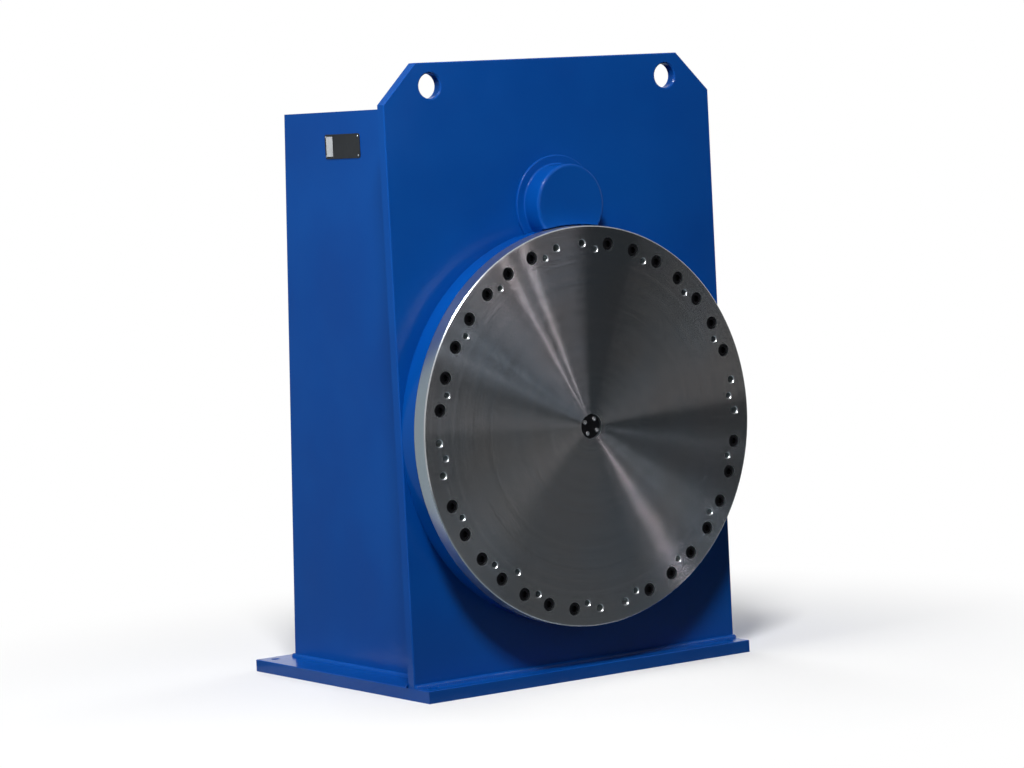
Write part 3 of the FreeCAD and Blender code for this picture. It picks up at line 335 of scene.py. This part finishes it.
def satin_paint(name, colour, roughness):
    """Satin machine paint over a casting."""
    f = new_finish(name)
    here = f.place()
    skin = f.noise(here, *SKIN_NOISE)
    cast = f.noise(here, *CAST_NOISE)
    deep = toned(colour, DEEP_PAINT)
    shade = f.mix(f.between(cast, *CAST_SPAN), deep, linear(colour))
    relief = f.bump(cast, CAST_DEPTH, f.bump(skin, SKIN_DEPTH))
    rough = roughness + SKIN_ROUGHNESS * (skin - NOISE_MEAN)
    return f.done(Base_Color=shade, Roughness=rough, Normal=relief)


def finishes():
    """One material for each material slot."""
    looks = {"blue_enamel": blue_enamel(), "turned_steel": turned_steel()}
    for make, table in ((worked_metal, METALS), (moulded, MOULDINGS), (satin_paint, PAINTS)):
        for name, row in table.items():
            looks[name] = make(name, *row)
    return looks


SMOOTH_ANGLE = math.radians(40)


def start_piece():
    """Leaves edit mode with nothing selected, ready for the next primitive."""
    if bpy.context.object and bpy.context.object.mode != "OBJECT":
        bpy.ops.object.mode_set(mode="OBJECT")
    bpy.ops.object.select_all(action="DESELECT")


def take(piece):
    """Makes one piece the only selected and the active one."""
    start_piece()
    piece.select_set(True)
    bpy.context.view_layer.objects.active = piece


def copy_of(blank):
    """A copy of a blank, with a mesh of its own, which becomes the active piece."""
    take(blank)
    bpy.ops.object.duplicate()
    return bpy.context.object


def discard(blank):
    """Deletes a blank once its copies are made."""
    take(blank)
    bpy.ops.object.delete()


def finish_piece(name, slot):
    """Names the active piece, puts its place in its mesh, and gives it a finish and a body."""
    piece = bpy.context.object
    piece.name = name
    piece.data.name = name
    bpy.ops.object.transform_apply(location=True, rotation=True, scale=True)
    bpy.ops.object.shade_smooth_by_angle(angle=SMOOTH_ANGLE)
    piece.data.materials.clear()
    piece.data.materials.append(LOOKS[slot])
    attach(piece, "headstock")


def select_only(kind, chosen):
    """Selects the active piece's edges or faces that a test accepts, and stays in edit mode."""
    bpy.ops.object.mode_set(mode="EDIT")
    bpy.ops.mesh.select_mode(type=kind)
    bpy.ops.mesh.select_all(action="DESELECT")
    bpy.ops.object.mode_set(mode="OBJECT")
    mesh = bpy.context.object.data
    for element in mesh.edges if kind == "EDGE" else mesh.polygons:
        element.select = chosen(element)
    bpy.ops.object.mode_set(mode="EDIT")


def cut_behind(ahead):
    """Cuts off what lies behind a plane through the origin, and closes the cut."""
    bpy.ops.mesh.select_all(action="SELECT")
    bpy.ops.mesh.bisect(plane_co=(0, 0, 0), plane_no=ahead, use_fill=True, clear_inner=True)


# Painted-over welds: a ripple's length is a share of its width
WELD_LEG = 0.011
WELD_PITCH = 0.0065
RIPPLE_SHARE = 0.62


def weld_ripple():
    """Blank of one ripple: a flattened ball, cut to the quarter that stands in a corner."""
    start_piece()
    bpy.ops.mesh.primitive_uv_sphere_add(segments=12, ring_count=8, radius=WELD_LEG)
    bpy.ops.object.mode_set(mode="EDIT")
    bpy.ops.mesh.select_all(action="SELECT")
    bpy.ops.transform.resize(value=(RIPPLE_SHARE, 1.0, 1.0))
    cut_behind((0, 1, 0))
    cut_behind((0, 0, 1))
    bpy.ops.object.mode_set(mode="OBJECT")
    return bpy.context.object


def weld(ripple, name, start, end, first_wall, second_wall):
    """Painted-over fillet weld: a row of overlapping ripples in the corner of two plates."""
    first, second = Vector(first_wall), Vector(second_wall)
    seam = first.cross(second)
    start, end = Vector(start), Vector(end)
    if seam.dot(end - start) < 0:
        start, end = end, start
    length = (end - start).length
    bead = copy_of(ripple)
    row = bead.modifiers.new("row", "ARRAY")
    row.count = max(2, round(length / WELD_PITCH))
    row.use_relative_offset = False
    row.use_constant_offset = True
    row.constant_offset_displace = (length / row.count, 0, 0)
    bpy.ops.object.modifier_apply(modifier=row.name)
    turn = Matrix((seam, first, second)).transposed().to_4x4()
    bead.matrix_world = Matrix.Translation(start) @ turn
    finish_piece(name, "blue_enamel")


def welds():
    """Seams of the welded cabinet."""
    left, right = side_low.x, -side_low.x
    front, back, sill = plate_low.y, plate_high.y, sill_high.y
    foot, roof = base_high.z, roof_high.z
    ahead, behind, up = (0, -1, 0), (0, 1, 0), (0, 0, 1)
    seams = [("front_plate", (plate_low.x, front, foot), (plate_high.x, front, foot), ahead, up)]
    for name, wall, edge, out in (("left", left, plate_low.x, (-1, 0, 0)),
                                  ("right", right, plate_high.x, (1, 0, 0))):
        corner = (wall, back, foot)
        seams += [("side_foot_" + name, corner, (wall, side_high.y, foot), out, up),
                  ("side_front_" + name, corner, (wall, back, roof), out, behind),
                  ("plate_foot_" + name, corner, (edge, back, foot), behind, up)]
    seams += [("roof", (left, back, roof), (right, back, roof), behind, up),
              ("sill_foot", (left, sill, foot), (right, sill, foot), behind, up)]
    ripple = weld_ripple()
    for name, *seam in seams:
        weld(ripple, "weld_" + name, *seam)
    discard(ripple)


# Bare plate on the cabinet's left side. The band's thickness, corners and rim are a share of the
# plate's, and its middle is a share of the plate's thickness off the wall. A face looks left where
# its normal is below LOOKS_LEFT along X.
BADGE_Y = (-0.085, 0.112)
BADGE_Z = (1.625, 1.700)
BADGE_THICK = 0.0024
BADGE_CORNER = 0.008
BADGE_RIM = 0.0035
CORNER_SEGMENTS = 5
BAND_WIDTH = 0.036
BAND_SHARE = 1 / 3
BAND_SEAT = 0.85
PIN_RADIUS = 0.0035
PIN_INSET = 0.008
PIN_RISE = 0.55
LOOKS_LEFT = -0.9


def thin_plate(name, slot, middle, size, corner, rim):
    """Thin plate on the left wall with round corners and a raised rim."""
    thick = size[0]
    recess = thick / 4
    start_piece()
    bpy.ops.mesh.primitive_cube_add(size=1.0, location=middle, scale=size)
    bpy.ops.object.transform_apply(location=True, rotation=True, scale=True)
    points = bpy.context.object.data.vertices
    select_only("EDGE", lambda edge: abs(points[edge.vertices[0]].co.x
                                         - points[edge.vertices[1]].co.x) > thick / 2)
    bpy.ops.mesh.bevel(offset=corner, segments=CORNER_SEGMENTS, affect="EDGES")
    select_only("FACE", lambda face: face.normal.x < LOOKS_LEFT)
    bpy.ops.mesh.inset(thickness=rim)
    bpy.ops.transform.translate(value=(recess, 0, 0))
    bpy.ops.object.mode_set(mode="OBJECT")
    finish_piece(name, slot)


def pin_head():
    """Blank of the domed head of a pin: half a ball, flattened."""
    start_piece()
    bpy.ops.mesh.primitive_uv_sphere_add(segments=16, ring_count=10, radius=PIN_RADIUS)
    bpy.ops.object.mode_set(mode="EDIT")
    cut_behind((-1, 0, 0))
    bpy.ops.mesh.select_all(action="SELECT")
    bpy.ops.transform.resize(value=(PIN_RISE, 1.0, 1.0))
    bpy.ops.object.mode_set(mode="OBJECT")
    return bpy.context.object


def bare_plate():
    """Blank black data plate with a pale band at its rear end, held by four drive pins."""
    wall = side_low.x
    wide, high = BADGE_Y[1] - BADGE_Y[0], BADGE_Z[1] - BADGE_Z[0]
    middle = Vector((wall - BADGE_THICK / 2, sum(BADGE_Y) / 2, sum(BADGE_Z) / 2))
    thin_plate("data_plate", "motor_black", middle, (BADGE_THICK, wide, high), BADGE_CORNER,
               BADGE_RIM)
    margin = 2 * BADGE_RIM
    band = Vector((wall - BAND_SEAT * BADGE_THICK, BADGE_Y[1] - margin - BAND_WIDTH / 2, middle.z))
    thin_plate("data_plate_band", "gearbox_grey", band,
               (BADGE_THICK * BAND_SHARE, BAND_WIDTH, high - 2 * margin),
               BADGE_CORNER * BAND_SHARE, BADGE_RIM * BAND_SHARE)
    head = pin_head()
    places = [(y, z) for y in (BADGE_Y[0] + PIN_INSET, BADGE_Y[1] - PIN_INSET)
              for z in (BADGE_Z[0] + PIN_INSET, BADGE_Z[1] - PIN_INSET)]
    for number, (y, z) in enumerate(places, 1):
        copy_of(head).location = (wall - BADGE_THICK, y, z)
        finish_piece(f"data_plate_pin_{number}", "zinc_steel")
    discard(head)


# Floor and surround: the fade runs between two distances from the part's middle
WHITE = (1, 1, 1, 1)
FLOOR_SIZE = 80.0
FLOOR_FADE = (0.8, 2.3)
FLOOR_PALE = (0.8, 0.8, 0.8, 1)
FLOOR_AS_LIGHT = (0.07, 0.07, 0.07, 1)
SURROUND_AS_LIGHT = (0.95, 0.97, 1.0, 1)
SURROUND_STRENGTH = 0.085

# Dark sheets that only reflections see, which paint in the reflection of dark surroundings: name,
# azimuth in degrees, reach, width, rise, and grey near and far
SHEET_LIFT = 0.01
SHEET_FADE = (0.9, 3.2)
SHEET_TINT = (0.86, 1.0, 1.08)
EDGE_SLACK = 0.1
MAT_REACH = (0.03 - base_low.y, 2.0)
SWEEP_REACH = (0.8, 13.6)
SWEEP_WIDTH = 29.0
SWEEP_RISE = 17.0
FRONT_GREYS = (0.42, 0.085)
BACK_GREYS = (0.36, 0.36)
SHEETS = (
    ("front_reflection_mat", 0.0, MAT_REACH, 3.6, 0.02, FRONT_GREYS),
    ("front_reflection_sweep", 38.0, SWEEP_REACH, SWEEP_WIDTH, SWEEP_RISE, FRONT_GREYS),
    ("back_reflection_sweep", -145.0, SWEEP_REACH, SWEEP_WIDTH, SWEEP_RISE, BACK_GREYS),
)

# Lamps that light the paint: name, place, side, power, and whether gloss shows them
LAMP_AIM = AXIS + Vector((0, plate_low.y, 0.12))
LAMPS = (
    ("key_overhead", Vector((-2.8, -4.0, 5.9)), 1.1, 460, True),
    ("fill_left", Vector((-6.5, -0.6, 3.6)), 2.4, 260, False),
    ("fill_right", Vector((6.5, 0.9, 1.7)), 2.4, 260, False),
    ("fill_back", Vector((1.2, 6.5, 1.9)), 2.4, 260, False),
)

# Lamps that only gloss shows, each for a streak on the faceplate: name, distance, clock angle in
# degrees, leans of the flanks that mirror it, width, power and colour
STREAK_FAR = 12.0
STREAK_NEAR = 5.0
INNER_LEANS = (0.13, 0.28)
OUTER_LEANS = (0.38, 0.56)
ROSE = (1.0, 0.92, 0.97)
BLUSH = (1.0, 0.94, 0.97)
PEARL = (1.0, 0.95, 0.98)
LILAC = (1.0, 0.97, 1.0)
ICE = (0.84, 0.92, 1.0)
FROST = (0.85, 0.93, 1.0)
IVORY = (1.0, 1.0, 0.97)
STREAKS = (
    ("streak_main", STREAK_FAR, 125.5, INNER_LEANS, 0.10, 23, ROSE),
    ("streak_main_glow", STREAK_FAR, 125.5, INNER_LEANS, 1.3, 7, PEARL),
    ("streak_second", STREAK_FAR, 112.0, OUTER_LEANS, 0.30, 28, BLUSH),
    ("streak_third", STREAK_FAR, 119.5, OUTER_LEANS, 0.30, 28, BLUSH),
    ("streak_glow", STREAK_FAR, 116.0, OUTER_LEANS, 8.5, 96, LILAC),
    ("streak_haze", STREAK_FAR, 141.0, OUTER_LEANS, 5.4, 70, ICE),
    ("streak_haze_low", STREAK_FAR, 150.0, INNER_LEANS, 2.6, 9, ICE),
    ("streak_fan_1", STREAK_FAR, 140.0, INNER_LEANS, 0.05, 5.0, FROST),
    ("streak_fan_2", STREAK_FAR, 148.0, INNER_LEANS, 0.05, 5.0, FROST),
    ("streak_fan_3", STREAK_FAR, 168.0, INNER_LEANS, 0.05, 3.5, FROST),
    ("streak_fan_4", STREAK_FAR, 144.0, OUTER_LEANS, 0.10, 5.0, FROST),
    ("streak_fan_5", STREAK_FAR, 152.0, OUTER_LEANS, 0.10, 4.5, FROST),
    ("streak_right_low", STREAK_NEAR, 13.0, INNER_LEANS, 1.2, 5.2, IVORY),
    ("streak_right_mid", STREAK_FAR, 66.0, INNER_LEANS, 7.4, 16, IVORY),
    ("streak_right_high", STREAK_FAR, 43.0, OUTER_LEANS, 8.0, 52, IVORY),
)


def seen_by_eye_or_gloss(f):
    """1 for rays of the camera, in reflections and through glass, 0 for those that carry light."""
    rays = [f.add("ShaderNodeLightPath", {}, {}, "Is " + kind + " Ray")
            for kind in ("Camera", "Glossy", "Transmission")]
    return f.math("MINIMUM", rays[0] + rays[1] + rays[2], 1.0)


def floor():
    """Plain pale floor that keeps the shadow, fades into white and throws back little light."""
    start_piece()
    bpy.ops.mesh.primitive_plane_add(size=FLOOR_SIZE)
    ground = bpy.context.object
    ground.name = "floor"
    f = new_finish("floor")
    away = f.vector("LENGTH", f.place(), out=1)
    pale = f.add("ShaderNodeBsdfDiffuse", {}, {"Color": FLOOR_PALE})
    white = f.add("ShaderNodeEmission", {}, {"Color": WHITE, "Strength": 1.0})
    dim = f.add("ShaderNodeBsdfDiffuse", {}, {"Color": FLOOR_AS_LIGHT})
    seen = f.add("ShaderNodeMixShader", {}, {0: f.between(away, *FLOOR_FADE), 1: pale, 2: white})
    mixed = f.add("ShaderNodeMixShader", {}, {0: seen_by_eye_or_gloss(f), 1: dim, 2: seen})
    f.add("ShaderNodeOutputMaterial", {}, {"Surface": mixed})
    ground.data.materials.append(f.owner)


def surround():
    """White to the eye and in reflections, and a softer grey as light."""
    f = Finish(bpy.data.worlds.new("surround"))
    light = f.add("ShaderNodeBackground", {},
                  {"Color": SURROUND_AS_LIGHT, "Strength": SURROUND_STRENGTH})
    white = f.add("ShaderNodeBackground", {}, {"Color": WHITE, "Strength": 1.0})
    mixed = f.add("ShaderNodeMixShader", {}, {0: seen_by_eye_or_gloss(f), 1: light, 2: white})
    f.add("ShaderNodeOutputWorld", {}, {"Surface": mixed})
    bpy.context.scene.world = f.owner


def dark_sheet(name, azimuth, reach, wide, rise, greys):
    """Glowing grey sheet on the floor that rises at its far edge, which only reflections see: a
    painted reflection of dark surroundings.
    """
    near, far = reach
    start_piece()
    bpy.ops.mesh.primitive_plane_add(size=1.0, location=(0, -(near + far) / 2, SHEET_LIFT))
    sheet = bpy.context.object
    sheet.name = name
    sheet.scale = (wide, far - near, 1)
    bpy.ops.object.transform_apply(location=True, rotation=True, scale=True)
    points = sheet.data.vertices
    select_only("EDGE", lambda edge: max(points[v].co.y for v in edge.vertices) < EDGE_SLACK - far)
    bpy.ops.mesh.extrude_region_move(TRANSFORM_OT_translate={"value": (0, 0, rise)})
    bpy.ops.object.mode_set(mode="OBJECT")
    sheet.rotation_euler.z = math.radians(azimuth)
    f = new_finish(name)
    away = f.vector("LENGTH", f.place(), out=1)
    near_tone, far_tone = [[grey * tint for tint in SHEET_TINT] + [1] for grey in greys]
    tone = f.mix(f.between(away, *SHEET_FADE), near_tone, far_tone)
    # Painted reflection: the sheet glows in a fixed grey, so gloss mirrors a dark surround
    painted_reflection = f.add("ShaderNodeEmission", {}, {"Color": tone, "Strength": 1.0})
    f.add("ShaderNodeOutputMaterial", {}, {"Surface": painted_reflection})
    sheet.data.materials.append(f.owner)
    sheet.visible_camera = False
    sheet.visible_diffuse = False
    sheet.visible_shadow = False


def eye_place():
    """The camera's place, from the photo's viewing angle."""
    azimuth, elevation = math.radians(VIEW_AZIMUTH), math.radians(VIEW_ELEVATION)
    level = Vector((math.sin(azimuth), -math.cos(azimuth), 0)) * math.cos(elevation)
    return VIEW_AIM + VIEW_DISTANCE * (level + Vector((0, 0, math.sin(elevation))))


def camera():
    """Camera at the photo's viewing angle and roll."""
    lens = bpy.data.cameras.new("camera")
    lens.lens = LENS
    lens.clip_end = CLIP_END
    eye = bpy.data.objects.new("camera", lens)
    bpy.context.scene.collection.objects.link(eye)
    eye.location = eye_place()
    level = (VIEW_AIM - eye.location).to_track_quat("-Z", "Y")
    eye.rotation_mode = "QUATERNION"
    eye.rotation_quaternion = level @ Quaternion((0, 0, 1), math.radians(VIEW_ROLL))
    bpy.context.scene.camera = eye


def mirrored(clock, lean):
    """Direction in which a lathe ring's flank, at a clock angle and a lean, mirrors the camera."""
    ray = (FACE_CENTRE - eye_place()).normalized()
    turn = math.radians(clock)
    flank = Vector((lean * math.cos(turn), -1, lean * math.sin(turn))).normalized()
    return ray - 2 * ray.dot(flank) * flank


def softbox(name, place, turn, size, power, colour=(1, 1, 1), lights_paint=True,
            shows_in_gloss=True):
    """Rectangular lamp at a place and turn, which may act in gloss alone or keep out of it."""
    lamp = bpy.data.lights.new(name, "AREA")
    lamp.shape = "RECTANGLE"
    lamp.size, lamp.size_y = size
    lamp.energy = power
    lamp.color = colour
    holder = bpy.data.objects.new(name, lamp)
    bpy.context.scene.collection.objects.link(holder)
    holder.location = place
    holder.rotation_mode = "QUATERNION"
    holder.rotation_quaternion = turn
    holder.visible_diffuse = lights_paint
    holder.visible_glossy = shows_in_gloss


def streak_lamp(name, away, clock, leans, wide, power, colour):
    """Long lamp that the lathe rings draw out into a streak at a clock angle."""
    low, high = [FACE_CENTRE + away * mirrored(clock, lean) for lean in leans]
    middle = (low + high) / 2
    out = (middle - FACE_CENTRE).normalized()
    along = high - low
    upright = (along - along.dot(out) * out).normalized()
    turn = Matrix((upright.cross(out), upright, out)).transposed()
    softbox(name, middle, turn.to_quaternion(), (wide, along.length), power, colour,
            lights_paint=False)


def lights():
    """Plain soft lamps all round, and those that the faceplate mirrors."""
    for name, place, side, power, shows in LAMPS:
        turn = (LAMP_AIM - place).to_track_quat("-Z", "Y")
        softbox(name, place, turn, (side, side), power, shows_in_gloss=shows)
    for row in STREAKS:
        streak_lamp(*row)


LOOKS = finishes()
for part in frame["record"]["subparts"]:
    mesh = frame["nodes"][part["node"]].data
    mesh.materials.clear()
    mesh.materials.append(LOOKS[part["material_slot"]])
welds()
bare_plate()
floor()
surround()
for row in SHEETS:
    dark_sheet(*row)
lights()
camera()
bpy.context.scene.view_settings.view_transform = "Standard"
